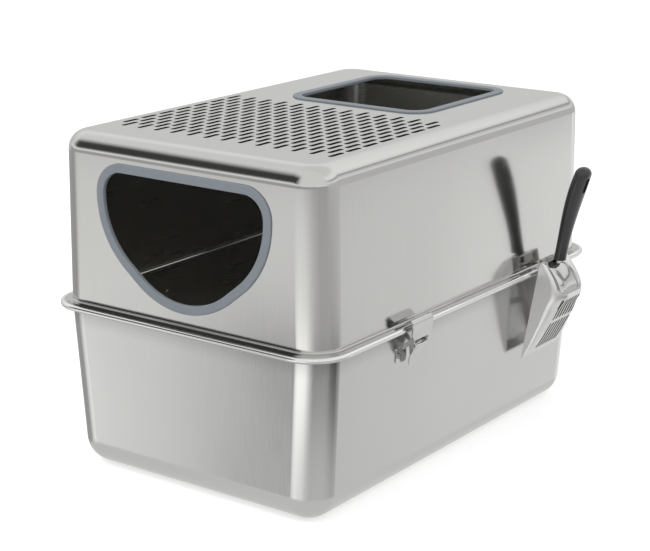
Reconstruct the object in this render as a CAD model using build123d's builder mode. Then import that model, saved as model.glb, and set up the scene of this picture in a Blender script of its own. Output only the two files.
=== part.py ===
"""Top entry litter box: a deep drawn steel pan, a drawn steel hood that stands on its flange,
edging round the two openings, two toggle latches and a scoop that hangs on the rim.

Millimetres. +Z is up and z = 0 is the face that the pan rests on. X runs across the box and Y
along it. The D-shaped entry is in the -Y end, and the scoop hangs on the +X side.
"""

from build123d import *

import os
from math import atan, cos, radians, sin, tan

os.makedirs("parts", exist_ok=True)

# ---------------------------------------------------------------- pan
SHEET = 1.0                 # drawn stainless sheet of pan and hood
RIM_LENGTH = 600.0          # over the beaded edge
RIM_WIDTH = 402.0
RIM_HEIGHT = 200.0          # top of the flange above the rest face
END_FLANGE = 15.0           # from the wall to the outer edge
SIDE_FLANGE = 13.3
BEAD_RADIUS = 3.25
BEAD_RISE = 0.25            # how far the bead stands above the flange
PAN_SIDE_DRAFT = 13.0       # how far each wall leans in from flange to floor
PAN_END_DRAFT = 5.2
PAN_CORNER = 34.5
PAN_FLOOR_RADIUS = 33.0
PAN_MOUTH_RADIUS = 2.5      # under the flange, where the wall turns out

# ---------------------------------------------------------------- hood
HOOD_HEIGHT = 200.0         # from the flange to the top face
HOOD_SIDE_LIP = 5.0         # foot lip outside the wall
HOOD_END_LIP = 8.0
LIP_PLAY = 1.25             # from the foot lip to the bead
HOOD_SIDE_DRAFT = 3.2
HOOD_CORNER = 34.5
HOOD_TOP_RADIUS = 22.4
HOOD_FOOT_RADIUS = 1.5      # where the wall turns out to the foot lip

# ---------------------------------------------------------------- D-shaped entry
DOOR_WIDTH = 225.4          # clear width
DOOR_TOP_MARGIN = 37.5      # clear opening below the hood's top face
DOOR_TOP_CORNER = 26.0
DOOR_KNEE_DROP = 73.1       # where side and flank would meet, below the opening's top
DOOR_POINT_DROP = 0.93      # where the flanks would meet, below the flange
DOOR_BELLY_SHARE = 0.5846   # radius of sill and flanks for each millimetre of the top's height
DOOR_TRIM_WIDTH = 10.4
DOOR_TRIM_PROUD = 2.2

# ---------------------------------------------------------------- top opening
HATCH_WIDTH = 183.0         # clear width
HATCH_LENGTH = 188.0
HATCH_REAR_MARGIN = 53.3    # from the hood's rear face to the clear opening
HATCH_CORNER = 20.0
HATCH_TRIM_WIDTH = 11.5
HATCH_TRIM_PROUD = 1.7

# ---------------------------------------------------------------- edging
TRIM_WEB = 4.0              # edging inside the cut edge of the sheet
TRIM_GAP = 0.05             # between the edging and the sheet in its groove
TRIM_ROUND = 1.2

# ---------------------------------------------------------------- litter slots in the top
SLOT_LENGTH = 25.5
SLOT_WIDTH = 6.2
SLOT_PITCH_X = 12.16        # between neighbouring, staggered columns
SLOT_PITCH_Y = 31.6         # along one column
SLOT_SIDE_MARGIN = 29.4     # from the hood's side face to the first column
SLOT_FRONT_MARGIN = 61.8    # from the hood's front face to the first row
SLOT_HATCH_MARGIN = 22.5    # from the last row to the edging of the top opening

# ---------------------------------------------------------------- latch, drawn shut on the +X side
LATCH_Y = -119.5
LATCH_SHEET = 1.2
LEVER_PIVOT_INSET = 1.5     # pivot inboard of the rim's outer edge
LEVER_PIVOT_DROP = 18.0     # pivot below the flange
CLAW_PIVOT_DROP = 7.0       # claw pin below the lever pin
LATCH_PIN_RADIUS = 1.5
LATCH_PIN_END = 0.2         # pin end beyond the outer cheek
PIN_GAP = 0.05              # radial clearance of pins and rivets in their holes
BOSS_RADIUS = 3.0           # round the pins, on ears, cheeks and arms
CLAW_BOSS_RADIUS = 2.4      # round the claw pin, on the lever's cheeks
CHEEK_GAP = 0.45            # between the cheeks of base, lever and claw
LEVER_WIDTH = 25.6
LEVER_TIP_WIDTH = 9.0
LEVER_TIP_ROUND = 3.0
LEVER_BEND = 2.4
LEVER_SLOPE = 38.0          # shut lever from the vertical, tip toward the wall
LEVER_LENGTH = 27.0         # pin to the start of the flared tip
LEVER_FLARE = 4.5
LEVER_FLARE_ANGLE = 24.0
LEVER_CHEEK_LENGTH = 15.0
LEVER_WEB_START = 1.0
LEVER_WEB_GAP = 0.4         # from the claw pin to the web
CLAW_WIDTH = 40.5
CLAW_BITE = 3.6             # how far the shut claw reaches over the foot lip
CLAW_GAP = 0.05             # between the shut claw and the foot lip
CLAW_RIM_GAP = 0.6          # between the shut claw and the bead
CLAW_TOP_RISE = 8.2         # top of the shut claw above the flange
CLAW_TOP_INSET = 3.6        # bend at the claw's top inboard of its plate
CLAW_TOP_FLAT = 3.0
CLAW_FOOT_DROP = 15.4       # lower edge of the claw plate below the flange
CLAW_CHAMFER = 6.0
CLAW_ARM_REACH = 5.0        # how far each arm runs up the plate
CLAW_BEND = 0.8
BASE_WIDTH = 46.0
BASE_HEIGHT = 18.0
BASE_DROP = 27.0            # top of the base plate below the flange
BASE_CORNER = 3.0
EAR_FOOT = 5.0              # height of each ear where it leaves the base plate
RIVET_RADIUS = 2.0
RIVET_HEAD_RADIUS = 3.6
RIVET_HEAD = 1.3
RIVET_HEAD_ROUND = 1.0
RIVET_SPACING = 37.0
LEVER_REST = 8.0            # the lever stands open by this angle as stored
CLAW_TURN_RATIO = 1.83      # how far the claw turns back on the lever for each degree of the lever

# ---------------------------------------------------------------- scoop, reaches run up from its tip
SCOOP_Y = 171.5
SCOOP_LEAN = 7.5            # open face from the vertical
SCOOP_TIP_DROP = 109.0      # tip of the bowl below the flange
SCOOP_RIM_GAP = 5.0         # open face to the rim's outer edge at flange height
BOWL_LENGTH = 122.0
BOWL_KNEE = 87.0            # reach of the deepest point
BOWL_DEPTH = 37.0
BOWL_TIP_DEPTH = 3.0
BOWL_TOP_DEPTH = 5.0        # at the handle end
BOWL_TIP_WIDTH = 85.0
BOWL_REAR_WIDTH = 63.0
BOWL_SIDE_DRAFT = 6.0       # side walls lean in toward the back, in degrees
BOWL_FRONT_BULGE = 0.85     # below 1 the back is bowed out from tip to knee
BOWL_REAR_BULGE = 1.7       # above 1 it is bowed out from knee to top
BOWL_RIDGE_SHARE = 0.4      # ridge radius for each millimetre of depth
BOWL_SHEET = 1.2
SCOOP_SLOT_WIDTH = 4.2
SCOOP_SLOT_PITCH = 7.6
SCOOP_SLOTS = 7
SCOOP_SLOT_START = 10.0
LOWER_SLOT_LENGTH = 38.0
SLOT_BRIDGE = 4.5           # between the two rows
UPPER_SLOT_LENGTH = 29.5

HOOK_OFFSET = -8.0          # saddle, hook and clip from the scoop's middle, along Y
SADDLE_WIDTH = 42.0
SADDLE_LENGTH = 31.0
SADDLE_SHEET = 1.2
SADDLE_BORDER = 3.4
SADDLE_BORDER_RISE = 1.4
SADDLE_CORNER = 5.0
HOOK_WIDTH = 28.0
HOOK_DEPTH = 9.0
HOOK_GAP = 0.5              # between the hook's leg and the clip's tongue
CLIP_SHEET = 1.2
CLIP_WIDTH = 22.0
CLIP_GAP = 0.1              # between the clip and the bead, below and outside
CLIP_JAW_PLAY = 0.6         # from the clip's upper jaw to the foot lip
CLIP_LIP = 3.0              # height of the turned-up edge of the lower jaw
CLIP_BEND = 0.8

TANG_WIDTH = 11.0
TANG_SHEET = 2.5
TANG_IN_HANDLE = 45.0
TANG_GAP = 0.3              # between tang and handle, and beside it in the saddle's border
HANDLE_GAP = 0.4            # from the saddle to the handle's root
HANDLE_LENGTH = 121.5
HANDLE_ROOT = (14.5, 18.5)  # thickness and width
HANDLE_GRIP = (16.0, 23.5)
HANDLE_HEAD = (18.5, 28.5)
HANDLE_ROOT_DEPTH = 10.3    # handle's middle from the open face
HANDLE_NECK_DEPTH = 11.3    # half-way to the grip section
HANDLE_GRIP_DEPTH = 13.2
HANDLE_HEAD_DEPTH = 22.6
HANDLE_GRIP_REACH = 50.0    # from the root to the grip section
HANDLE_DOME = 9.5           # height of the rounded end
HANG_HOLE_WIDTH = 8.0
HANG_HOLE_LENGTH = 20.0
HANG_HOLE_DROP = 22.0       # hole's middle below the handle's end

# ---------------------------------------------------------------- construction
OVERCUT = 1.0               # cuts start this far outside the piece
STEEP_EDGE = 0.5            # a wall's corner rises at least this much for each millimetre
LEAN_TOLERANCE = 5.0        # an edge across a drafted wall is within this many degrees of X
HANDLE_DOME_ANGLES = (0, 30, 55, 75, 87)
BOWL_STEPS = 6              # spans between the bowl's sections, from its tip to the deepest point
BOWL_REAR_STEPS = 4         # and from there to its top
ARC_MIDDLE = 0.293          # middle of a ridge from its corner, for each millimetre of radius

# ---------------------------------------------------------------- sizes that follow
MOUTH_WIDTH = RIM_WIDTH - 2 * SIDE_FLANGE
MOUTH_LENGTH = RIM_LENGTH - 2 * END_FLANGE
FLANGE_CORNER = PAN_CORNER + (END_FLANGE + SIDE_FLANGE) / 2
BEAD_HEIGHT = RIM_HEIGHT + BEAD_RISE - BEAD_RADIUS
LIP_INSET = 2 * BEAD_RADIUS + LIP_PLAY
LIP_WIDTH = RIM_WIDTH - 2 * LIP_INSET
LIP_LENGTH = RIM_LENGTH - 2 * LIP_INSET
LIP_CORNER = HOOD_CORNER + (HOOD_SIDE_LIP + HOOD_END_LIP) / 2
LIP_TOP = RIM_HEIGHT + SHEET
HOOD_WIDTH = LIP_WIDTH - 2 * HOOD_SIDE_LIP
HOOD_LENGTH = LIP_LENGTH - 2 * HOOD_END_LIP
HOOD_TOP_WIDTH = HOOD_WIDTH - 2 * HOOD_SIDE_DRAFT
HOOD_TOP = RIM_HEIGHT + HOOD_HEIGHT
HOOD_FRONT = Plane.XZ.offset(HOOD_LENGTH / 2)
HOOD_ROOF = Plane.XY.offset(HOOD_TOP)
HATCH_Y = HOOD_LENGTH / 2 - HATCH_REAR_MARGIN - HATCH_LENGTH / 2
WALL_LEAN = PAN_SIDE_DRAFT / RIM_HEIGHT


def finish(builder, name):
    """Label a finished piece and write it."""
    builder.part.label = name
    export_step(builder.part, f"parts/{name}.step")


def tapered_block(low, high, corner, rounded_end, radius):
    """Block with drafted walls between two (width, length, height) levels.

    Its lower (0) or upper (-1) end is rounded.
    """
    with BuildPart() as block:
        for axis, plane in ((0, Plane.XZ), (1, Plane.YZ)):
            mode = Mode.INTERSECT if axis else Mode.ADD
            with BuildSketch(plane):
                Polygon(
                    (-low[axis] / 2, low[2]),
                    (low[axis] / 2, low[2]),
                    (high[axis] / 2, high[2]),
                    (-high[axis] / 2, high[2]),
                    align=None,
                )
            extrude(amount=max(low[:2] + high[:2]), both=True, mode=mode)
        fillet(block.edges().filter_by(lambda edge: abs(edge.tangent_at(0).Z) > STEEP_EDGE), corner)
        fillet(block.edges().group_by(Axis.Z)[rounded_end], radius)
    return block.part


# ================================================================ pan
def pan_block(inset, floor):
    """The pan's drawn body, set in all round by inset."""
    lean = 1 - floor / RIM_HEIGHT
    low_width = MOUTH_WIDTH - 2 * PAN_SIDE_DRAFT * lean - 2 * inset
    low_length = MOUTH_LENGTH - 2 * PAN_END_DRAFT * lean - 2 * inset
    low = (low_width, low_length, floor)
    high = (MOUTH_WIDTH - 2 * inset, MOUTH_LENGTH - 2 * inset, RIM_HEIGHT)
    return tapered_block(low, high, PAN_CORNER - inset, 0, PAN_FLOOR_RADIUS - inset)


def wall_x(height):
    """Outer face of the pan's side wall at a height."""
    return MOUTH_WIDTH / 2 - WALL_LEAN * (RIM_HEIGHT - height)


def rivet_plane():
    """Plane on the pan's outer side wall at the middle of the latch base, its normal outward."""
    height = RIM_HEIGHT - BASE_DROP - BASE_HEIGHT / 2
    lean = atan(WALL_LEAN)
    return Plane((wall_x(height), LATCH_Y, height), x_dir=(0, 1, 0), z_dir=(cos(lean), 0, -sin(lean)))


def rivet_holes():
    """Solid in the place of one latch's rivet holes."""
    depth = 2 * (SHEET + LATCH_SHEET)
    with BuildPart() as holes:
        with BuildSketch(rivet_plane().offset(-depth)):
            with GridLocations(RIVET_SPACING, 0, 2, 1):
                Circle(RIVET_RADIUS + PIN_GAP)
        extrude(amount=2 * depth)
    return holes.part


pan_outside = pan_block(0, 0)
pan_inside = pan_block(SHEET, SHEET)

bead_x = RIM_WIDTH / 2 - BEAD_RADIUS
bead_y = RIM_LENGTH / 2 - BEAD_RADIUS
bead_corner = FLANGE_CORNER - BEAD_RADIUS
bead_points = ((bead_x, bead_y), (-bead_x, bead_y), (-bead_x, -bead_y), (bead_x, -bead_y))

with BuildPart() as lower_pan:
    add(pan_outside)
    with BuildSketch(Plane.XY.offset(RIM_HEIGHT)):
        RectangleRounded(2 * bead_x, 2 * bead_y, bead_corner)
    extrude(amount=-SHEET)
    flange_underside = lower_pan.faces().filter_by(Axis.Z).sort_by(Axis.Z)[-2]
    fillet(flange_underside.inner_wires()[0].edges(), PAN_MOUTH_RADIUS)
    add(pan_inside, mode=Mode.SUBTRACT)
    add(rivet_holes(), mode=Mode.SUBTRACT)
    add(rivet_holes().mirror(Plane.YZ), mode=Mode.SUBTRACT)
    flange_top = lower_pan.faces().filter_by(Axis.Z).sort_by(Axis.Z)[-1]
    fillet(flange_top.inner_wires()[0].edges(), PAN_MOUTH_RADIUS + SHEET)
    with BuildLine(Plane.XY.offset(BEAD_HEIGHT)) as bead_line:
        FilletPolyline(*bead_points, radius=bead_corner, close=True)
    with BuildSketch(Plane(bead_line.line @ 0, z_dir=bead_line.line % 0)):
        Circle(BEAD_RADIUS)
    sweep(path=bead_line.line)
finish(lower_pan, "lower_pan")


# ================================================================ hood and its edging
def hood_block(inset):
    """The hood's drawn body, set in all round by inset."""
    width = HOOD_WIDTH - 2 * inset
    length = HOOD_LENGTH - 2 * inset
    top_width = HOOD_TOP_WIDTH - 2 * inset
    low = (width, length, RIM_HEIGHT)
    high = (top_width, length, HOOD_TOP - inset)
    return tapered_block(low, high, HOOD_CORNER - inset, -1, HOOD_TOP_RADIUS - inset)


def door_outline(grow=0):
    """Face of the D opening, grown all round, in the hood's front plane."""
    half = DOOR_WIDTH / 2
    point = RIM_HEIGHT - DOOR_POINT_DROP
    top = HOOD_TOP - DOOR_TOP_MARGIN
    knee = top - DOOR_KNEE_DROP
    belly = DOOR_BELLY_SHARE * (top - RIM_HEIGHT)
    with BuildSketch(HOOD_FRONT) as outline:
        Polygon((-half, top), (-half, knee), (0, point), (half, knee), (half, top), align=None)
        fillet(outline.vertices().sort_by(Axis.Y)[:3], belly)
        fillet(outline.vertices().sort_by(Axis.Y)[-2:], DOOR_TOP_CORNER)
        if grow:
            offset(amount=grow, kind=Kind.ARC)
    return outline.sketch


def hatch_outline(grow=0):
    """Face of the top opening, grown all round, in the hood's roof plane."""
    with BuildSketch(HOOD_ROOF) as outline:
        with Locations((0, HATCH_Y)):
            RectangleRounded(HATCH_WIDTH + 2 * grow, HATCH_LENGTH + 2 * grow, HATCH_CORNER + grow)
    return outline.sketch


def edging(outline, plane, width, proud):
    """U-section edging over the sheet round an opening; the plane lies on the sheet's outer face."""
    outward = plane.z_dir
    middle = outline(width / 2).face().outer_wire()
    with BuildPart() as ring:
        with BuildSketch(Plane(middle @ 0, x_dir=outward, z_dir=middle % 0)):
            with Locations((-SHEET / 2, 0)):
                RectangleRounded(SHEET + 2 * proud, width, TRIM_ROUND)
        sweep(path=middle)
        groove = outline(width + TRIM_ROUND) - outline(TRIM_WEB)
        extrude(groove, amount=TRIM_GAP, dir=outward, mode=Mode.SUBTRACT)
        extrude(groove, amount=SHEET + TRIM_GAP, dir=-outward, mode=Mode.SUBTRACT)
    return ring


def cut_litter_slots(front, rear):
    """Staggered slots along Y through the open hood's top, between two Y limits."""
    pairs = int(((HOOD_TOP_WIDTH - 2 * SLOT_SIDE_MARGIN - SLOT_WIDTH) / SLOT_PITCH_X + 1) / 2)
    rows = int((rear - front - SLOT_LENGTH - SLOT_PITCH_Y / 2) / SLOT_PITCH_Y) + 1
    middle = (front + rear) / 2
    with BuildSketch(HOOD_ROOF) as slots:
        for side in (-1, 1):
            with Locations((side * SLOT_PITCH_X / 2, middle - side * SLOT_PITCH_Y / 4)):
                with GridLocations(2 * SLOT_PITCH_X, SLOT_PITCH_Y, pairs, rows):
                    SlotOverall(SLOT_LENGTH, SLOT_WIDTH, rotation=90)
    extrude(slots.sketch, amount=-2 * SHEET, mode=Mode.SUBTRACT)


hood_outside = hood_block(0)
hood_inside = hood_block(SHEET)
door_hole = door_outline(TRIM_WEB + TRIM_GAP)
hatch_hole = hatch_outline(TRIM_WEB + TRIM_GAP)
slots_front = -HOOD_LENGTH / 2 + SLOT_FRONT_MARGIN
slots_rear = HATCH_Y - HATCH_LENGTH / 2 - HATCH_TRIM_WIDTH - SLOT_HATCH_MARGIN

with BuildPart() as hood:
    add(hood_outside)
    with BuildSketch(Plane.XY.offset(RIM_HEIGHT)):
        RectangleRounded(LIP_WIDTH, LIP_LENGTH, LIP_CORNER)
    extrude(amount=SHEET)
    lip_top = hood.faces().filter_by(Axis.Z).sort_by(Axis.Z)[1]
    fillet(lip_top.inner_wires()[0].edges(), HOOD_FOOT_RADIUS)
    add(hood_inside, mode=Mode.SUBTRACT)
    lip_underside = hood.faces().filter_by(Axis.Z).sort_by(Axis.Z)[0]
    fillet(lip_underside.inner_wires()[0].edges(), HOOD_FOOT_RADIUS + SHEET)
    extrude(door_hole, amount=SHEET, dir=(0, 1, 0), mode=Mode.SUBTRACT)
    extrude(hatch_hole, amount=SHEET, dir=(0, 0, -1), mode=Mode.SUBTRACT)
    cut_litter_slots(slots_front, slots_rear)
finish(hood, "hood")

finish(edging(door_outline, HOOD_FRONT, DOOR_TRIM_WIDTH, DOOR_TRIM_PROUD), "entry_trim")
finish(edging(hatch_outline, HOOD_ROOF, HATCH_TRIM_WIDTH, HATCH_TRIM_PROUD), "top_trim")


# ================================================================ latches
LEVER_PIN = Vector(RIM_WIDTH / 2 - LEVER_PIVOT_INSET, LATCH_Y, RIM_HEIGHT - LEVER_PIVOT_DROP)
CLAW_PIN_SHUT = LEVER_PIN - Vector(0, 0, CLAW_PIVOT_DROP)
CLAW_TILT = LEVER_REST * (CLAW_TURN_RATIO - 1)
CLAW_PIN = LEVER_PIN + Vector(sin(radians(LEVER_REST)), 0, -cos(radians(LEVER_REST))) * CLAW_PIVOT_DROP
EAR_WIDTH = LEVER_WIDTH - 2 * (LATCH_SHEET + CHEEK_GAP)
ARM_WIDTH = LEVER_WIDTH + 2 * (LATCH_SHEET + CHEEK_GAP)


def lever_plane():
    """Lever's own frame at its pin: x along the lever to its tip, y away from the pan, z toward -Y."""
    slope = radians(LEVER_SLOPE - LEVER_REST)
    return Plane(LEVER_PIN, x_dir=(-sin(slope), 0, -cos(slope)), z_dir=(0, -1, 0))


def claw_plane():
    """Claw's own frame at its pin: x away from the pan, y up the claw, z toward -Y."""
    tilt = radians(CLAW_TILT)
    return Plane(CLAW_PIN, x_dir=(cos(tilt), 0, -sin(tilt)), z_dir=(0, -1, 0))


def cheek_pair(face, width):
    """Two cheeks of latch sheet at the ends of a width along Y, from one profile in the XZ direction."""
    for side in (-1, 1):
        outer = face.moved(Location((0, side * width / 2, 0)))
        extrude(outer, amount=LATCH_SHEET, dir=(0, -side, 0))


def pin(centre, width, name):
    """Round pin through both cheeks, a little proud of them."""
    with BuildPart() as shaft:
        with BuildSketch(Plane(centre, z_dir=(0, 1, 0))):
            Circle(LATCH_PIN_RADIUS)
        extrude(amount=width / 2 + LATCH_PIN_END, both=True)
        chamfer(shaft.edges(), LATCH_PIN_END / 2)
    return {name: shaft}


def pin_hole(centre, width):
    """Running hole for a pin through the open part."""
    with BuildSketch(Plane(centre, z_dir=(0, 1, 0))) as hole:
        Circle(LATCH_PIN_RADIUS + PIN_GAP)
    extrude(hole.sketch, amount=width, both=True, mode=Mode.SUBTRACT)


def latch_base():
    """Plate riveted to the pan's wall, with two ears that carry the lever pin."""
    plate_top = RIM_HEIGHT - BASE_DROP
    plate_foot = plate_top - BASE_HEIGHT
    middle = Plane.XZ.offset(-LATCH_Y)
    holes = rivet_holes()
    with BuildSketch(middle) as plate_profile:
        Polygon(
            (wall_x(plate_foot), plate_foot),
            (wall_x(plate_foot) + LATCH_SHEET, plate_foot),
            (wall_x(plate_top) + LATCH_SHEET, plate_top),
            (wall_x(plate_top), plate_top),
            align=None,
        )
    with BuildSketch(middle) as ear_profile:
        with Locations((LEVER_PIN.X, LEVER_PIN.Z)):
            Circle(BOSS_RADIUS)
        Polygon(
            (wall_x(plate_top), plate_top),
            (wall_x(plate_top - EAR_FOOT), plate_top - EAR_FOOT),
            (wall_x(plate_top) + LATCH_SHEET, plate_top - EAR_FOOT / 2),
            align=None,
        )
        make_hull()
    with BuildPart() as base:
        extrude(plate_profile.sketch, amount=BASE_WIDTH / 2, both=True)
        fillet(base.edges().filter_by(Axis.X, tolerance=LEAN_TOLERANCE), BASE_CORNER)
        cheek_pair(ear_profile.sketch, EAR_WIDTH)
        pin_hole(LEVER_PIN, EAR_WIDTH)
        add(holes, mode=Mode.SUBTRACT)
    return {"base": base}


def latch_rivets():
    """Two rivets through the pan's wall and the base plate."""
    with BuildPart() as rivets:
        for start, length, radius in (
            (-SHEET, SHEET + LATCH_SHEET, RIVET_RADIUS),
            (LATCH_SHEET, RIVET_HEAD, RIVET_HEAD_RADIUS),
            (-SHEET - RIVET_HEAD, RIVET_HEAD, RIVET_HEAD_RADIUS),
        ):
            with BuildSketch(rivet_plane().offset(start)):
                with GridLocations(RIVET_SPACING, 0, 2, 1):
                    Circle(radius)
            extrude(amount=length)
        through = Axis(rivet_plane().origin, rivet_plane().z_dir)
        ends = rivets.faces().filter_by(rivet_plane()).sort_by(through)
        fillet([edge for end in (*ends[:2], *ends[-2:]) for edge in end.edges()], RIVET_HEAD_ROUND)
    return {"rivets": rivets}


def latch_lever():
    """Pull lever: two cheeks and a web that narrows to a flared tip."""
    frame = lever_plane()
    slope = radians(LEVER_SLOPE)
    claw_pin_along = CLAW_PIVOT_DROP * cos(slope)
    claw_pin_out = CLAW_PIVOT_DROP * sin(slope)
    web = claw_pin_out + LATCH_PIN_RADIUS + LEVER_WEB_GAP
    flare = radians(LEVER_FLARE_ANGLE)
    with BuildSketch(frame) as cheek_profile:
        Circle(BOSS_RADIUS)
        with Locations((claw_pin_along, claw_pin_out)):
            Circle(CLAW_BOSS_RADIUS)
        Polygon(
            (LEVER_WEB_START, web + LATCH_SHEET),
            (LEVER_CHEEK_LENGTH, web),
            (LEVER_CHEEK_LENGTH, web + LATCH_SHEET),
            align=None,
        )
        make_hull()
    with BuildSketch(frame) as web_profile:
        with BuildLine() as strip:
            FilletPolyline(
                (LEVER_WEB_START, web + LATCH_SHEET),
                (LEVER_LENGTH, web + LATCH_SHEET),
                (LEVER_LENGTH + LEVER_FLARE * cos(flare), web + LATCH_SHEET + LEVER_FLARE * sin(flare)),
                radius=LEVER_BEND,
            )
            offset(amount=LATCH_SHEET, side=Side.RIGHT)
        make_face(strip.edges())
    outline_plane = Plane(frame.origin, x_dir=frame.x_dir, z_dir=frame.y_dir)
    with BuildSketch(outline_plane) as web_outline:
        end = LEVER_LENGTH + LEVER_FLARE
        Polygon(
            (0, -LEVER_WIDTH / 2),
            (LEVER_CHEEK_LENGTH, -LEVER_WIDTH / 2),
            (end, -LEVER_TIP_WIDTH / 2),
            (end, LEVER_TIP_WIDTH / 2),
            (LEVER_CHEEK_LENGTH, LEVER_WIDTH / 2),
            (0, LEVER_WIDTH / 2),
            align=None,
        )
        fillet(web_outline.vertices().sort_by(Axis(frame.origin, frame.x_dir))[-2:], LEVER_TIP_ROUND)
    with BuildPart() as lever:
        extrude(web_profile.sketch, amount=LEVER_WIDTH / 2, both=True)
        extrude(web_outline.sketch, amount=2 * LEVER_LENGTH, mode=Mode.INTERSECT)
        cheek_pair(cheek_profile.sketch, LEVER_WIDTH)
        pin_hole(LEVER_PIN, LEVER_WIDTH)
        pin_hole(CLAW_PIN, LEVER_WIDTH)
    return {"lever": lever}


def latch_claw():
    """Claw: a plate that hooks over the foot lip, on two arms from the claw pin."""
    frame = claw_plane()
    plate = RIM_WIDTH / 2 + CLAW_RIM_GAP - CLAW_PIN_SHUT.X
    foot = RIM_HEIGHT - CLAW_FOOT_DROP - CLAW_PIN_SHUT.Z
    top = RIM_HEIGHT + CLAW_TOP_RISE - CLAW_PIN_SHUT.Z
    tip_x = LIP_WIDTH / 2 - CLAW_BITE - CLAW_PIN_SHUT.X
    tip_y = LIP_TOP + CLAW_GAP - CLAW_PIN_SHUT.Z
    with BuildSketch(frame) as plate_profile:
        with BuildLine() as strip:
            FilletPolyline(
                (plate + LATCH_SHEET, foot),
                (plate + LATCH_SHEET, top - CLAW_TOP_INSET),
                (plate + LATCH_SHEET - CLAW_TOP_INSET, top),
                (plate + LATCH_SHEET - CLAW_TOP_INSET - CLAW_TOP_FLAT, top),
                (tip_x, tip_y + LATCH_SHEET),
                radius=CLAW_BEND + LATCH_SHEET,
            )
            offset(amount=LATCH_SHEET, side=Side.LEFT)
        make_face(strip.edges())
    with BuildSketch(frame) as arm_profile:
        Circle(BOSS_RADIUS)
        with Locations((plate, foot)):
            Rectangle(LATCH_SHEET, CLAW_ARM_REACH, align=Align.MIN)
        make_hull()
    outline_plane = Plane(frame.origin, x_dir=(0, 1, 0), z_dir=frame.x_dir)
    with BuildSketch(outline_plane) as plate_outline:
        with Locations((0, foot)):
            Rectangle(CLAW_WIDTH, 2 * top, align=(Align.CENTER, Align.MIN))
        chamfer(plate_outline.vertices().group_by(Axis(frame.origin, frame.y_dir))[0], CLAW_CHAMFER)
    with BuildPart() as claw:
        extrude(plate_profile.sketch, amount=CLAW_WIDTH / 2, both=True)
        extrude(plate_outline.sketch, amount=CLAW_WIDTH, both=True, mode=Mode.INTERSECT)
        cheek_pair(arm_profile.sketch, ARM_WIDTH)
        pin_hole(CLAW_PIN, ARM_WIDTH)
    return {"claw": claw}


latch = latch_base() | latch_rivets() | latch_lever() | latch_claw()
latch |= pin(LEVER_PIN, LEVER_WIDTH, "lever_pin") | pin(CLAW_PIN, ARM_WIDTH, "claw_pin")
for piece, right in latch.items():
    finish(right, f"latch_right_{piece}")
    with BuildPart() as left:
        mirror(right.part, about=Plane.YZ)
    finish(left, f"latch_left_{piece}")


# ================================================================ scoop and its clip
LEAN = radians(SCOOP_LEAN)
SCOOP_UP = Vector(sin(LEAN), 0, cos(LEAN))
SCOOP_OUT = Vector(cos(LEAN), 0, -sin(LEAN))
TIP_X = RIM_WIDTH / 2 + SCOOP_RIM_GAP - tan(LEAN) * SCOOP_TIP_DROP
SCOOP_TIP = Vector(TIP_X, SCOOP_Y, RIM_HEIGHT - SCOOP_TIP_DROP)
SCOOP_FACE = Plane(SCOOP_TIP, x_dir=(0, 1, 0), z_dir=SCOOP_OUT)     # x along Y, y up the scoop
SCOOP_SIDE = Plane(SCOOP_TIP, x_dir=SCOOP_UP, z_dir=(0, 1, 0))      # x up the scoop, y to its back
HOOK_SIDE = SCOOP_SIDE.offset(HOOK_OFFSET)
HANDLE_START = BOWL_LENGTH + SADDLE_SHEET + HANDLE_GAP


def across(reach):
    """Plane across the scoop at a reach, x along Y and y to the scoop's back."""
    return Plane(SCOOP_TIP + SCOOP_UP * reach, x_dir=(0, -1, 0), z_dir=SCOOP_UP)


def bowl_depth(reach):
    """Depth of the bowl's back behind its open face."""
    if reach < BOWL_KNEE:
        share = max(reach, 0) / BOWL_KNEE
        return BOWL_TIP_DEPTH + (BOWL_DEPTH - BOWL_TIP_DEPTH) * share**BOWL_FRONT_BULGE
    share = (reach - BOWL_KNEE) / (BOWL_LENGTH - BOWL_KNEE)
    return BOWL_DEPTH - (BOWL_DEPTH - BOWL_TOP_DEPTH) * share**BOWL_REAR_BULGE


def bowl_section(reach, grow, front):
    """Section of the bowl's hull at a reach, with rounded ridges along its back."""
    width = BOWL_TIP_WIDTH + (BOWL_REAR_WIDTH - BOWL_TIP_WIDTH) * reach / BOWL_LENGTH
    depth = bowl_depth(reach) + grow
    ridge = BOWL_RIDGE_SHARE * depth
    lean = tan(radians(BOWL_SIDE_DRAFT))
    mouth = width / 2 + grow - front * lean
    corner = width / 2 + grow - depth * lean
    wall_end = corner + ridge * lean
    arc_middle = corner - ARC_MIDDLE * ridge
    back_end = corner - ridge
    with BuildSketch(across(reach)) as section:
        with BuildLine():
            Line((mouth, front), (-mouth, front))
            Line((-mouth, front), (-wall_end, depth - ridge))
            ThreePointArc(
                (-wall_end, depth - ridge),
                (-arc_middle, depth - ARC_MIDDLE * ridge),
                (-back_end, depth),
            )
            Line((-back_end, depth), (back_end, depth))
            ThreePointArc(
                (back_end, depth),
                (arc_middle, depth - ARC_MIDDLE * ridge),
                (wall_end, depth - ridge),
            )
            Line((wall_end, depth - ridge), (mouth, front))
        make_face()
    return section.sketch


def bowl_hull(grow, start=0.0, end=BOWL_LENGTH, front=0.0):
    """Solid inside the bowl's surface, grown to the back and sides, its open face moved by front."""
    rear = BOWL_LENGTH - BOWL_KNEE
    lower = [BOWL_KNEE * step / BOWL_STEPS for step in range(1, BOWL_STEPS)]
    upper = [BOWL_KNEE + rear * step / BOWL_REAR_STEPS for step in range(BOWL_REAR_STEPS)]
    reaches = [start] + lower + upper + [end]
    with BuildPart() as hull:
        loft([bowl_section(reach, grow, front) for reach in reaches])
    return hull.part


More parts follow.
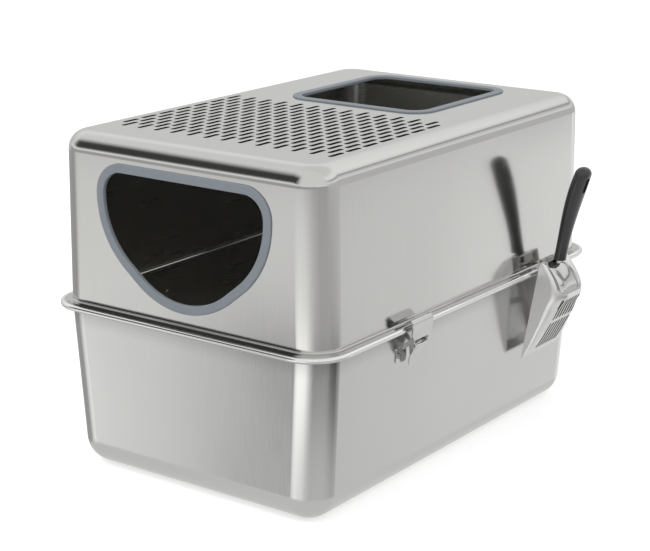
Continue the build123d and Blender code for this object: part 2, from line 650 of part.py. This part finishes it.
def scoop_bowl():
    """Perforated steel bowl, open toward the pan."""
    outside = bowl_hull(0)
    inside = bowl_hull(-BOWL_SHEET, start=-OVERCUT, end=BOWL_LENGTH - BOWL_SHEET, front=-OVERCUT)
    upper_start = SCOOP_SLOT_START + LOWER_SLOT_LENGTH + SLOT_BRIDGE
    with BuildPart() as bowl:
        add(outside)
        add(inside, mode=Mode.SUBTRACT)
        with BuildSketch(SCOOP_FACE) as slots:
            for start, length in ((SCOOP_SLOT_START, LOWER_SLOT_LENGTH), (upper_start, UPPER_SLOT_LENGTH)):
                with Locations((0, start + length / 2)):
                    with GridLocations(SCOOP_SLOT_PITCH, 0, SCOOP_SLOTS, 1):
                        SlotOverall(length, SCOOP_SLOT_WIDTH, rotation=90)
        extrude(slots.sketch, amount=2 * BOWL_DEPTH, mode=Mode.SUBTRACT)
    return bowl


def saddle_area(margin):
    """Outline of the saddle behind the open face, set in by margin all round."""
    with BuildSketch(SCOOP_FACE.offset(BOWL_TOP_DEPTH - SADDLE_SHEET)) as area:
        with Locations((HOOK_OFFSET, BOWL_LENGTH - margin)):
            RectangleRounded(
                SADDLE_WIDTH - 2 * margin,
                SADDLE_LENGTH - 2 * margin,
                SADDLE_CORNER - margin / 2,
                align=(Align.CENTER, Align.MAX),
            )
    return area.sketch


def tongue_depth():
    """Face of the clip's tongue toward the bead, from the scoop's open face."""
    against_bead = Vector(RIM_WIDTH / 2 + CLIP_GAP, SCOOP_Y, BEAD_HEIGHT)
    return (against_bead - SCOOP_TIP).dot(SCOOP_OUT)


def scoop_saddle():
    """Pressed saddle on the bowl's rear wall, with a raised border and a hook for the clip's tongue."""
    bowl_body = bowl_hull(0)
    plate_body = bowl_hull(SADDLE_SHEET)
    border_body = bowl_hull(SADDLE_SHEET + SADDLE_BORDER_RISE)
    hook_inside = tongue_depth() - HOOK_GAP
    top_outside = BOWL_TOP_DEPTH + SADDLE_SHEET
    with BuildPart() as border:
        extrude(saddle_area(0), amount=2 * BOWL_DEPTH)
        extrude(saddle_area(SADDLE_BORDER), amount=2 * BOWL_DEPTH, mode=Mode.SUBTRACT)
        add(border_body, mode=Mode.INTERSECT)
        add(bowl_body, mode=Mode.SUBTRACT)
        with BuildSketch(SCOOP_SIDE) as tang_notch:
            with Locations((BOWL_LENGTH, BOWL_TOP_DEPTH)):
                Rectangle(2 * SADDLE_BORDER, 2 * BOWL_DEPTH)
        extrude(tang_notch.sketch, amount=TANG_WIDTH / 2 + TANG_GAP, both=True, mode=Mode.SUBTRACT)
    with BuildPart() as plate:
        extrude(saddle_area(0), amount=2 * BOWL_DEPTH)
        add(plate_body, mode=Mode.INTERSECT)
        add(bowl_body, mode=Mode.SUBTRACT)
    with BuildPart() as saddle:
        add(plate.part)
        add(border.part)
        with BuildSketch(HOOK_SIDE) as hook:
            with BuildLine() as strip:
                Polyline(
                    (BOWL_LENGTH - HOOK_DEPTH, hook_inside),
                    (BOWL_LENGTH, hook_inside),
                    (BOWL_LENGTH, top_outside),
                )
                offset(amount=SADDLE_SHEET, side=Side.RIGHT)
            make_face(strip.edges())
        extrude(hook.sketch, amount=HOOK_WIDTH / 2, both=True)
        add(saddle.solids().sort_by(SortBy.VOLUME)[-1], mode=Mode.REPLACE)
    return saddle


def scoop_tang():
    """Flat steel tang from the saddle into the handle."""
    plate_body = bowl_hull(SADDLE_SHEET)
    with BuildPart() as tang:
        with BuildSketch(across(BOWL_KNEE)):
            with Locations((0, HANDLE_ROOT_DEPTH)):
                Rectangle(TANG_WIDTH, TANG_SHEET)
        extrude(amount=HANDLE_START + TANG_IN_HANDLE - BOWL_KNEE)
        add(plate_body, mode=Mode.SUBTRACT)
        keep = tang.solids().sort_by(Axis(SCOOP_TIP, SCOOP_UP))[-1]
        add(keep, mode=Mode.INTERSECT)
    return tang


def scoop_handle():
    """Moulded grip with a domed end and a hanging hole."""
    straight = HANDLE_LENGTH - HANDLE_DOME
    grip = (
        (0.0, HANDLE_ROOT_DEPTH, HANDLE_ROOT),
        (HANDLE_GRIP_REACH / 2, HANDLE_NECK_DEPTH, HANDLE_ROOT),
        (HANDLE_GRIP_REACH, HANDLE_GRIP_DEPTH, HANDLE_GRIP),
        (straight, HANDLE_HEAD_DEPTH, HANDLE_HEAD),
    )
    dome = []
    for angle in HANDLE_DOME_ANGLES:
        reach = straight + HANDLE_DOME * sin(radians(angle))
        dome.append((reach, HANDLE_HEAD_DEPTH, [size * cos(radians(angle)) for size in HANDLE_HEAD]))
    with BuildPart() as handle:
        for sections in (grip, dome):
            for reach, depth, (thickness, width) in sections:
                with BuildSketch(across(HANDLE_START + reach)):
                    with Locations((0, depth)):
                        Ellipse(width / 2, thickness / 2)
            loft()
        with BuildSketch(across(HANDLE_START)):
            with Locations((0, HANDLE_ROOT_DEPTH)):
                Rectangle(TANG_WIDTH + 2 * TANG_GAP, TANG_SHEET + 2 * TANG_GAP)
        extrude(amount=TANG_IN_HANDLE + TANG_GAP, mode=Mode.SUBTRACT)
        with BuildSketch(SCOOP_FACE):
            with Locations((0, HANDLE_START + HANDLE_LENGTH - HANG_HOLE_DROP)):
                SlotOverall(HANG_HOLE_LENGTH, HANG_HOLE_WIDTH, rotation=90)
        extrude(amount=2 * HANDLE_HEAD_DEPTH, mode=Mode.SUBTRACT)
    return handle


def scoop_clip():
    """Spring clip on the pan's bead: two jaws and an upright tongue for the scoop's hook."""
    lower_jaw = BEAD_HEIGHT - BEAD_RADIUS - CLIP_GAP
    behind_bead = RIM_WIDTH / 2 - 2 * BEAD_RADIUS - CLIP_GAP
    tongue_foot = RIM_WIDTH / 2 + CLIP_GAP + tan(LEAN) * (lower_jaw - BEAD_HEIGHT)
    tongue_top = SCOOP_TIP + SCOOP_UP * BOWL_LENGTH + SCOOP_OUT * tongue_depth()
    upper_jaw = RIM_HEIGHT + BEAD_RISE
    jaw_end = LIP_WIDTH / 2 + CLIP_JAW_PLAY
    with BuildPart() as clip:
        with BuildSketch(Plane.XZ.offset(-SCOOP_Y - HOOK_OFFSET)):
            with BuildLine():
                FilletPolyline(
                    (behind_bead, lower_jaw + CLIP_LIP),
                    (behind_bead, lower_jaw),
                    (tongue_foot, lower_jaw),
                    (tongue_top.X, tongue_top.Z),
                    radius=CLIP_BEND,
                )
                offset(amount=CLIP_SHEET, side=Side.RIGHT)
            make_face()
            with Locations((jaw_end, upper_jaw)):
                Rectangle(tongue_foot + CLIP_SHEET - jaw_end, CLIP_SHEET, align=Align.MIN)
        extrude(amount=CLIP_WIDTH / 2, both=True)
    return clip


finish(scoop_bowl(), "scoop_bowl")
finish(scoop_saddle(), "scoop_saddle")
finish(scoop_tang(), "scoop_tang")
finish(scoop_handle(), "scoop_handle")
finish(scoop_clip(), "scoop_clip")
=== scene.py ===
from math import cos, radians, sin

import bpy
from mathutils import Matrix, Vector

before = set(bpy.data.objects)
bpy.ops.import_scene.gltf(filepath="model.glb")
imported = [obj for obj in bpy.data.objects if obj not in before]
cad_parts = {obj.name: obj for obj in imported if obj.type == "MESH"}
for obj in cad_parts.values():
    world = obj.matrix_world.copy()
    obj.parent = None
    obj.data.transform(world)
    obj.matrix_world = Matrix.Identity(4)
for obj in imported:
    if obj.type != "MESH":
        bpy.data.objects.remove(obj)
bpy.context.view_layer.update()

# The photograph's view: where the camera stands, in metres, how it is turned, its lens in
# millimetres on a 36 mm sensor, and how far the picture's centre is from the lens's axis, in
# picture widths.
CAMERA_PLACE = (1.20963, -1.68466, 0.78538)
CAMERA_TURN = (radians(74.097), 0.0, radians(36.041))
CAMERA_LENS = 97.25
CAMERA_SHIFT = (0.0013, -0.0008)

# The floor's colour, how far it is lifted towards white for the camera, and how far it
# reaches, in metres.
FLOOR_WHITE = 0.8
FLOOR_LIFT = 0.48
FLOOR_REACH = 40.0

# The lamps, each with its place and its side in metres and its power in watts, and the point
# they are aimed at.
LAMPS = {
    "key": ((-1.3, -1.6, 2.4), 1.8, 34.0),
    "fill": ((2.0, -0.6, 1.9), 1.6, 16.0)}
LAMP_AIM = Vector((0.0, 0.0, 0.2))

# The patterns in the finishes: how many grains each has in a metre along x, y and z.
UPRIGHT_STREAKS = (1100.0, 1100.0, 14.0)
SHORT_STREAKS = (700.0, 700.0, 60.0)
LEVEL_STREAKS = (3.0, 3.0, 160.0)
SPECKLES = (500.0, 500.0, 500.0)
GLOSS_CLOUDS = (9.0, 9.0, 7.0)
MOULD_GRAIN = (1400.0, 1400.0, 1400.0)
FLOW_MARKS = (40.0, 40.0, 14.0)

# What the patterns do: the darkest and palest tone, as shares of the colour, how far the clouds
# move the roughness, the strength and the depth in metres of the streaks' relief, and the
# strength of the plastic's grain.
STREAK_TONES = (0.95, 1.04)
MARK_TONES = (0.90, 1.12)
CLOUD_GLOSS = 0.02
STREAK_RELIEF = (0.25, 0.000012)
GRAIN_STRENGTH = 0.35

# A painted shade on the pan's wall under its rim, for the shadow below the flange: its top
# and its depth, in metres, and the share of brightness it loses.
RIM_PAINTED_SHADE = (0.1975, 0.030, 0.26)

# The finishes, by the name of their material: linear colour, roughness, how far the roughness
# varies, and the depths in metres of the sheet's waves and of the plastic's grain.
INSIDE = dict(colour=(0.550, 0.545, 0.520), roughness=0.28, variation=0.03,
              streaks=LEVEL_STREAKS, wave_depth=0.0010)
# The pan's flange and the hood's foot lip: the same polished steel made darker, a painted shade
# for the dim gap between the hood's foot and the bead.
FLAT_RIM_PAINTED_SHADE = dict(colour=(0.560, 0.556, 0.546), roughness=0.08, variation=0.01)
STEELS = {
    "hood_steel": dict(colour=(0.640, 0.635, 0.618), roughness=0.12, variation=0.03,
                       wave_depth=0.0016),
    # The pan's steel carries the painted shade under its rim.
    "pan_steel": dict(colour=(0.640, 0.637, 0.622), roughness=0.17, variation=0.04,
                      wave_depth=0.0016, painted_shade_under_rim=RIM_PAINTED_SHADE),
    "hood_inside": INSIDE,
    "pan_inside": INSIDE,
    "lip_steel_painted_shade": FLAT_RIM_PAINTED_SHADE,
    "flange_steel_painted_shade": FLAT_RIM_PAINTED_SHADE,
    # The beaded edge: the pan's own sheet, more polished, and made brighter than its steel as a
    # painted highlight along the roll.
    "bead_steel_painted_highlight": dict(colour=(0.860, 0.857, 0.848), roughness=0.05, variation=0.01),
    # The slots' pierced edges: near black, a painted shade for the dark seen through the slots.
    "slot_edges_painted_shade": dict(colour=(0.060, 0.060, 0.058), roughness=0.45, variation=0.03),
    # The rivets: a duller steel, made darker still as painted shade, so that the heads inside
    # the box sit in the dark.
    "rivet_steel_painted_shade": dict(colour=(0.420, 0.417, 0.408), roughness=0.30, variation=0.03),
    "bright_steel": dict(colour=(0.620, 0.617, 0.608), roughness=0.04, variation=0.01,
                         streaks=SHORT_STREAKS, wave_depth=0.0008, swells=60.0),
    "scoop_steel": dict(colour=(0.820, 0.816, 0.805), roughness=0.30, variation=0.02,
                        streaks=SPECKLES)}
PLASTICS = {
    "edging": dict(colour=(0.208, 0.234, 0.256), roughness=0.55, variation=0.06,
                   grain_depth=0.00003),
    "handle": dict(colour=(0.0275, 0.0280, 0.0290), roughness=0.22, variation=0.05,
                   grain_depth=0.00001)}

# The inside of each shell: its faces that look towards the point on its axis at this height, in
# metres.
HOOD_HEART = 0.19
PAN_HEART = 0.195

# The rim: half its width and length, the radius of its corners, how wide its beaded edge is,
# and the heights between which its surfaces lie, all in metres.
RIM_HALF = (0.201, 0.300)
RIM_CORNER = 0.0487
BEAD_WIDTH = 0.0068
BEAD_FOOT = 0.1934
FLANGE_FACE = 0.1985
LIP_CEILING = 0.2030

# The hood's top and the scoop, whose pierced slot edges are painted near black as the shade
# seen into the slots: the height of the top's underside, where the scoop's tip is, and how far
# up it the slots reach, in metres, and how far the scoop leans outward.
ROOF_UNDERSIDE = 0.399
SCOOP_TIP_AT = Vector((0.1917, 0.1715, 0.0910))
SCOOP_SLOTTED = (0.008, 0.085)
SCOOP_LEAN = radians(7.5)
SCOOP_UPWARD = Vector((sin(SCOOP_LEAN), 0.0, cos(SCOOP_LEAN)))
SCOOP_OUTWARD = Vector((cos(SCOOP_LEAN), 0.0, -sin(SCOOP_LEAN)))

# How far a face's normal points up on the flange, on the lip and under the bead, and how little
# of it runs along an axis where the face lies along that axis.
FLANGE_UP = 0.5
LIP_UP = 0.1
BEAD_UNDER = -0.3
EDGE_ON = 0.02

# What polished steel sees low down around the studio: turns from the front towards the right,
# in degrees, each with a brightness. The far row is just below the horizon, and the near one
# is the ground close by. Underfoot it is one grey all round.
FAR_GROUND = [
    (-180, 1.00), (-150, 1.00), (-138, 0.55), (-128, 0.42), (-70, 0.42), (-58, 0.75),
    (-48, 0.90), (-36, 0.89), (-10, 0.97), (15, 0.90), (58, 0.56), (100, 0.56), (130, 0.66),
    (141, 0.71), (147, 0.84), (153, 1.02), (165, 1.06), (180, 1.00)]
NEAR_GROUND = [
    (-180, 1.00), (-150, 1.00), (-138, 0.50), (-128, 0.42), (-75, 0.42), (-62, 0.90),
    (-50, 1.38), (-45, 1.16), (-41, 0.68), (-38, 0.32), (-33, 0.46), (-25, 1.58), (6, 1.58),
    (22, 0.85), (36, 0.24), (90, 0.24), (102, 0.05), (124, 0.05), (135, 0.34), (141, 0.62),
    (147, 0.74), (150, 0.88), (153, 0.82), (165, 1.00), (180, 1.00)]
UNDERFOOT = 0.74
# The skyline, where the ground ends, in degrees below the horizon, by the same turns.
SKYLINE = [
    (-180, 11.5), (-50, 10.0), (-45, 10.7), (-36, 12.4), (36, 12.4), (144, 12.2), (152.5, 9.2),
    (160, 8.0), (180, 8.0)]
# What it sees above the skyline: heights in degrees, each with a brightness, ahead of the box,
# behind it to the left and behind it to the right.
AHEAD_SKY = [(-12, 0.46), (0.5, 0.46), (2, 1.05), (5, 1.05), (6.5, 0.88), (90, 0.88)]
LEFT_SKY = [
    (-12, 0.63), (8, 0.70), (16, 0.735), (30, 0.95), (39, 1.00), (50, 0.85), (90, 0.80)]
RIGHT_SKY = [
    (-12, 0.63), (8, 0.63), (11, 0.95), (13, 0.95), (16, 0.75), (20.5, 0.70), (21.5, 0.35),
    (23.5, 0.35), (25, 0.85), (30, 1.05), (39, 1.05), (50, 0.85), (90, 0.80)]
# A dark window ahead of the box: its lower and upper edges, and its left and right ones, each
# with the angles at which it starts and is complete.
WINDOW_EDGES = ((4.0, 15.0), (57.0, 32.0))
WINDOW_ENDS = ((-82.0, -52.0), (-6.0, -28.0))
WINDOW_GREY = 0.055
# Where these pass into each other: the ground's rows by their height in degrees, and the others
# by that part of the direction that points up over the skyline, backwards or to the right.
NEAR_ROW_RISE = (-31.0, -24.0)
FAR_ROW_RISE = (-19.5, -15.0)
SKYLINE_BLUR = (-0.016, 0.010)
FRONT_TO_BACK = (-0.2, 0.2)
LEFT_TO_RIGHT = (-0.25, 0.25)
# The brightest grey that a ramp can hold, and the even light that reaches all but mirrors.
BRIGHTEST = 1.6
SOFT_LIGHT = 0.70

# The places of the two colours, and of the result, among the Mix node's sockets.
MIX_FIRST, MIX_SECOND, MIX_RESULT = 6, 7, 2


# ---------------------------------------------------------------- node helpers

def feed(tree, socket, value):
    """Links a socket to another one, or writes a plain value into it."""
    if isinstance(value, bpy.types.NodeSocket):
        tree.links.new(value, socket)
    else:
        socket.default_value = value


def add(tree, kind, inputs=None, **settings):
    """A shader node with its settings, each named input a value or another node's socket."""
    node = tree.nodes.new("ShaderNode" + kind)
    for name, value in settings.items():
        setattr(node, name, value)
    for key, value in (inputs or {}).items():
        feed(tree, node.inputs[key], value)
    return node


def calc(tree, operation, a, b=0.0, c=0.0):
    """One sum of two or three numbers or sockets."""
    return add(tree, "Math", {0: a, 1: b, 2: c}, operation=operation).outputs[0]


def spread(tree, value, low, high):
    """Carries a 0 to 1 value onto the range from low to high."""
    node = add(tree, "MapRange", {"Value": value, "To Min": low, "To Max": high})
    return node.outputs["Result"]


def step_up(tree, value, low, high):
    """0 at low and 1 at high, with a smooth change between and none beyond."""
    node = add(tree, "MapRange", {"Value": value, "From Min": low, "From Max": high},
               interpolation_type="SMOOTHSTEP")
    return node.outputs["Result"]


def scale_colour(tree, colour, share):
    """A colour with this share of its brightness."""
    node = add(tree, "VectorMath", {0: colour, "Scale": share}, operation="SCALE")
    return node.outputs["Vector"]


def plain(grey):
    """A grey as a colour."""
    return (grey, grey, grey, 1.0)


def greys(tree, value, stops):
    """A grey that runs through the stops, each a place from 0 to 1 and a brightness up to
    BRIGHTEST."""
    ramp = add(tree, "ValToRGB", {"Fac": value})
    points = ramp.color_ramp.elements
    while len(points) < len(stops):
        points.new(0.5)
    for point, (place, grey) in zip(points, stops):
        point.position = place
        point.color = plain(grey / BRIGHTEST)
    return scale_colour(tree, ramp.outputs["Color"], BRIGHTEST)


def blend_colours(tree, share, first, second):
    """The first colour at share 0 and the second at share 1."""
    node = add(tree, "Mix", {"Factor": share}, data_type="RGBA")
    feed(tree, node.inputs[MIX_FIRST], first)
    feed(tree, node.inputs[MIX_SECOND], second)
    return node.outputs[MIX_RESULT]


def two_tones(tree, share, colour, tones):
    """A colour that runs from its dark to its pale tone, each a share of its brightness."""
    dark, pale = (tuple(min(1.0, tone * part) for part in colour) for tone in tones)
    return blend_colours(tree, share, (*dark, 1.0), (*pale, 1.0))


def solid_noise(tree, grains, detail=3.0):
    """Noise through the solid, with this many grains a metre along x, y and z."""
    place = add(tree, "TexCoord").outputs["Object"]
    scaled = add(tree, "Mapping", {"Vector": place, "Scale": grains})
    noise = add(tree, "TexNoise", {
        "Vector": scaled.outputs["Vector"], "Scale": 1.0, "Detail": detail,
        "Roughness": 0.55})
    return noise.outputs["Fac"]


def bump(tree, height, strength, distance, under=None):
    """A bump of this depth in metres, laid over another bump where one is given."""
    inputs = {"Height": height, "Strength": strength, "Distance": distance}
    if under is not None:
        inputs["Normal"] = under
    return add(tree, "Bump", inputs).outputs["Normal"]


def blank_material(name):
    """A new material without nodes, and its tree."""
    material = bpy.data.materials.new(name)
    material.use_nodes = True
    material.node_tree.nodes.clear()
    return material, material.node_tree


def surface(name):
    """A new material with a Principled shader, its tree and that shader."""
    material, tree = blank_material(name)
    shader = add(tree, "BsdfPrincipled")
    add(tree, "OutputMaterial", {"Surface": shader.outputs["BSDF"]})
    return material, tree, shader


# ------------------------------------------------------------------ materials

def painted_shade_below(tree, tone, top, depth, share):
    """A colour darkened by a painted shade, losing this share of its brightness just below a
    height, in metres, and getting it back over a depth."""
    place = add(tree, "SeparateXYZ", {"Vector": add(tree, "TexCoord").outputs["Object"]})
    near_top = step_up(tree, place.outputs["Z"], top - depth, top)
    return blend_colours(tree, near_top, tone, scale_colour(tree, tone, 1.0 - share))


def sheet_steel(name, colour, roughness, variation, streaks=UPRIGHT_STREAKS, wave_depth=0.0,
                swells=5.0, painted_shade_under_rim=None):
    """Rolled steel sheet: streaks of the polishing belt, clouds in the gloss, and gentle waves
    with this many swells a metre. It can carry a painted shade below a height."""
    material, tree, shader = surface(name)
    belt = solid_noise(tree, streaks)
    clouds = solid_noise(tree, GLOSS_CLOUDS, detail=2.0)
    waves = solid_noise(tree, (swells, swells, swells), detail=0.0)
    tone = two_tones(tree, belt, colour, STREAK_TONES)
    # Painted shade under the rim: the colour darkens just below the flange.
    if painted_shade_under_rim:
        tone = painted_shade_below(tree, tone, *painted_shade_under_rim)
    gloss = calc(tree, "ADD",
                 spread(tree, belt, roughness - variation, roughness + variation),
                 spread(tree, clouds, -CLOUD_GLOSS, CLOUD_GLOSS))
    shape = bump(tree, waves, 1.0, wave_depth)
    feed(tree, shader.inputs["Base Color"], tone)
    feed(tree, shader.inputs["Roughness"], gloss)
    feed(tree, shader.inputs["Normal"], bump(tree, belt, *STREAK_RELIEF, shape))
    shader.inputs["Metallic"].default_value = 1.0
    return material


def moulded_plastic(name, colour, roughness, variation, grain_depth):
    """Moulded plastic: an even fine grain, faint flow marks and slightly polished patches."""
    material, tree, shader = surface(name)
    grain = solid_noise(tree, MOULD_GRAIN, detail=2.0)
    marks = solid_noise(tree, FLOW_MARKS)
    feed(tree, shader.inputs["Base Color"], two_tones(tree, marks, colour, MARK_TONES))
    feed(tree, shader.inputs["Roughness"],
         spread(tree, marks, roughness - variation, roughness + variation))
    feed(tree, shader.inputs["Normal"], bump(tree, grain, GRAIN_STRENGTH, grain_depth))
    return material


def steel(name):
    """The steel finish of this name."""
    return sheet_steel(name, **STEELS[name])


def plastic(name):
    """The plastic finish of this name."""
    return moulded_plastic(name, **PLASTICS[name])


# ------------------------------------------------------------- faces by place

def looks_inward(heart):
    """A test for faces of a shell that look at the point on its axis at this height."""
    centre = Vector((0.0, 0.0, heart))
    return lambda face: face.normal.dot(face.center - centre) < 0.0


def beyond_rim(point):
    """How far a point lies outside the rim's rounded outline, seen from above."""
    across = [max(abs(place) - half + RIM_CORNER, 0.0)
              for place, half in zip(point, RIM_HALF)]
    return Vector(across).length - RIM_CORNER


def on_bead(face):
    """True on the beaded edge of the pan."""
    return face.center.z > BEAD_FOOT and beyond_rim(face.center.xy) > -BEAD_WIDTH


def on_flange(face):
    """True on the flange inside its beaded edge, and under that edge."""
    if on_bead(face):
        return face.normal.z < BEAD_UNDER
    return face.center.z > FLANGE_FACE and face.normal.z > FLANGE_UP


def on_lip(face):
    """True on the hood's foot lip and the bend above it."""
    return face.center.z < LIP_CEILING and face.normal.z > LIP_UP


def on_roof_slot(face):
    """True on the edges pierced through the hood's top."""
    return face.center.z > ROOF_UNDERSIDE and abs(face.normal.z) < EDGE_ON


def on_scoop_slot(face):
    """True on the edges pierced through the scoop's back."""
    reach = (face.center - SCOOP_TIP_AT).dot(SCOOP_UPWARD)
    across = abs(face.normal.dot(SCOOP_OUTWARD)) < EDGE_ON
    return across and SCOOP_SLOTTED[0] < reach < SCOOP_SLOTTED[1]


# ------------------------------------------------------------------- dressing

def dress(names, material):
    """Gives every named CAD node this material."""
    for name in names:
        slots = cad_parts[name].data.materials
        for place in range(len(slots)):
            slots[place] = material


def refinish(name, material, chosen):
    """Gives the faces of a CAD node that the test chooses a finish of their own."""
    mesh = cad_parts[name].data
    mesh.materials.append(material)
    place = len(mesh.materials) - 1
    for face in mesh.polygons:
        if chosen(face):
            face.material_index = place


def finish_fittings():
    """The latches, the edging, and the scoop with its clip."""
    latches = [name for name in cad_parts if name.startswith("latch_")]
    rivets = [name for name in latches if name.endswith("rivets")]
    bright = [name for name in latches if name not in rivets]
    dress(rivets, steel("rivet_steel_painted_shade"))
    dress(bright + ["scoop_saddle", "scoop_clip", "scoop_tang"], steel("bright_steel"))
    dress(["scoop_bowl"], steel("scoop_steel"))
    dress(["entry_trim", "top_trim"], plastic("edging"))
    dress(["scoop_handle"], plastic("handle"))


def finish_shells():
    """The hood and the pan, each with a duller inside."""
    dress(["hood"], steel("hood_steel"))
    dress(["lower_pan"], steel("pan_steel"))
    refinish("hood", steel("hood_inside"), looks_inward(HOOD_HEART))
    refinish("lower_pan", steel("pan_inside"), looks_inward(PAN_HEART))


def finish_rim():
    """The hood's foot lip and the pan's flange, darkened as painted shade, and the pan's beaded
    edge, brightened as a painted highlight.
    """
    refinish("hood", steel("lip_steel_painted_shade"), on_lip)
    refinish("lower_pan", steel("bead_steel_painted_highlight"), on_bead)
    refinish("lower_pan", steel("flange_steel_painted_shade"), on_flange)


def finish_slots():
    """The edges pierced through the hood's top and through the scoop, painted near black as the
    shade seen into the slots.
    """
    pierced_painted_shade = steel("slot_edges_painted_shade")
    refinish("hood", pierced_painted_shade, on_roof_slot)
    refinish("scoop_bowl", pierced_painted_shade, on_scoop_slot)


# --------------------------------------------------------------------- studio

def turn_place(degrees):
    """Where a turn from the front, counted towards the right, lies on a 0 to 1 ramp."""
    return degrees / 360.0 + 0.5


def height_place(degrees):
    """Where an angle above the horizon lies on a 0 to 1 ramp."""
    return sin(radians(degrees)) / 2.0 + 0.5


def compass(tree, parts):
    """The turn of a direction from the front towards the right, from 0 to 1."""
    backwards = calc(tree, "MULTIPLY", parts.outputs["Y"], -1.0)
    angle = calc(tree, "ARCTAN2", parts.outputs["X"], backwards)
    return calc(tree, "MULTIPLY_ADD", angle, 1.0 / radians(360.0), 0.5)


def round_about(tree, turn, stops):
    """The greys of a row of the studio, by the turn."""
    return greys(tree, turn, [(turn_place(angle), grey) for angle, grey in stops])


def rise(tree, parts, low, high):
    """0 at the low and 1 at the high angle above the horizon, in degrees."""
    return step_up(tree, parts.outputs["Z"], sin(radians(low)), sin(radians(high)))


def ground_greys(tree, parts, turn):
    """The ground all round, from underfoot through its near row up to its far row."""
    far = round_about(tree, turn, FAR_GROUND)
    near = round_about(tree, turn, NEAR_GROUND)
    rows = blend_colours(tree, rise(tree, parts, *FAR_ROW_RISE), near, far)
    return blend_colours(tree, rise(tree, parts, *NEAR_ROW_RISE), plain(UNDERFOOT), rows)


def sky_greys(tree, parts):
    """The room above the skyline, one ramp for each part of it."""
    height = calc(tree, "MULTIPLY_ADD", parts.outputs["Z"], 0.5, 0.5)
    ahead, left, right = (
        greys(tree, height, [(height_place(angle), grey) for angle, grey in stops])
        for stops in (AHEAD_SKY, LEFT_SKY, RIGHT_SKY))
    rightward = step_up(tree, parts.outputs["X"], *LEFT_TO_RIGHT)
    backward = step_up(tree, parts.outputs["Y"], *FRONT_TO_BACK)
    return blend_colours(tree, backward, ahead, blend_colours(tree, rightward, left, right))


def window_share(tree, parts, turn):
    """1 inside the dark window and 0 well outside it."""
    share = 1.0
    for outer, inner in WINDOW_EDGES:
        share = calc(tree, "MULTIPLY", share, rise(tree, parts, outer, inner))
    for outer, inner in WINDOW_ENDS:
        edge = step_up(tree, turn, turn_place(outer), turn_place(inner))
        share = calc(tree, "MULTIPLY", share, edge)
    return share


def above_skyline(tree, parts, turn):
    """1 above the skyline and 0 on the ground."""
    drops = [(angle, sin(radians(drop))) for angle, drop in SKYLINE]
    height = calc(tree, "ADD", parts.outputs["Z"], round_about(tree, turn, drops))
    return step_up(tree, height, *SKYLINE_BLUR)


def studio_greys(tree):
    """Everything that mirror rays see around the object."""
    direction = add(tree, "TexCoord").outputs["Generated"]
    parts = add(tree, "SeparateXYZ", {"Vector": direction})
    turn = compass(tree, parts)
    room = blend_colours(tree, above_skyline(tree, parts, turn),
                         ground_greys(tree, parts, turn), sky_greys(tree, parts))
    return blend_colours(tree, window_share(tree, parts, turn), room, plain(WINDOW_GREY))


def build_world():
    """White to the camera, the studio to mirror rays, and soft even light to all else."""
    world = bpy.data.worlds.new("studio")
    bpy.context.scene.world = world
    world.use_nodes = True
    tree = world.node_tree
    tree.nodes.clear()
    path = add(tree, "LightPath")
    mirror = calc(tree, "MAXIMUM", path.outputs["Is Glossy Ray"],
                  path.outputs["Is Transmission Ray"])
    unmirrored = blend_colours(tree, path.outputs["Is Camera Ray"], plain(SOFT_LIGHT),
                               plain(1.0))
    shade = blend_colours(tree, mirror, unmirrored, studio_greys(tree))
    glow = add(tree, "Background", {"Color": shade, "Strength": 1.0})
    add(tree, "OutputWorld", {"Surface": glow.outputs["Background"]})


def floor_material():
    """A pale floor that keeps the shadow, lifted to white for the camera."""
    material, tree = blank_material("floor")
    camera = add(tree, "LightPath").outputs["Is Camera Ray"]
    matte = add(tree, "BsdfDiffuse", {"Color": plain(FLOOR_WHITE)})
    glow = add(tree, "Emission", {"Strength": calc(tree, "MULTIPLY", camera, FLOOR_LIFT)})
    both = add(tree, "AddShader", {0: matte.outputs["BSDF"], 1: glow.outputs["Emission"]})
    add(tree, "OutputMaterial", {"Surface": both.outputs["Shader"]})
    return material


def build_floor():
    """The floor the object stands on. Mirrors look past it at the studio's own ground."""
    mesh = bpy.data.meshes.new("floor")
    corners = [(x * FLOOR_REACH, y * FLOOR_REACH, 0.0)
               for x, y in ((-1, -1), (1, -1), (1, 1), (-1, 1))]
    mesh.from_pydata(corners, [], [(0, 1, 2, 3)])
    mesh.materials.append(floor_material())
    floor = bpy.data.objects.new("floor", mesh)
    floor.visible_glossy = False
    bpy.context.collection.objects.link(floor)


def add_lamp(name, place, side, power):
    """A square soft lamp aimed at the object, left out of mirror images."""
    lamp = bpy.data.lights.new(name, "AREA")
    lamp.size = side
    lamp.energy = power
    holder = bpy.data.objects.new(name, lamp)
    holder.location = place
    holder.rotation_euler = (LAMP_AIM - Vector(place)).to_track_quat("-Z", "Y").to_euler()
    holder.visible_glossy = False
    bpy.context.collection.objects.link(holder)


def build_camera():
    """The camera at the photograph's place."""
    data = bpy.data.cameras.new("camera")
    data.lens = CAMERA_LENS
    data.shift_x, data.shift_y = CAMERA_SHIFT
    camera = bpy.data.objects.new("camera", data)
    camera.location = CAMERA_PLACE
    camera.rotation_euler = CAMERA_TURN
    bpy.context.collection.objects.link(camera)
    bpy.context.scene.camera = camera


build_camera()
build_world()
build_floor()
for lamp_name, lamp_settings in LAMPS.items():
    add_lamp(lamp_name, *lamp_settings)
bpy.context.scene.view_settings.view_transform = "Standard"
finish_fittings()
finish_shells()
finish_rim()
finish_slots()

bpy.context.view_layer.update()
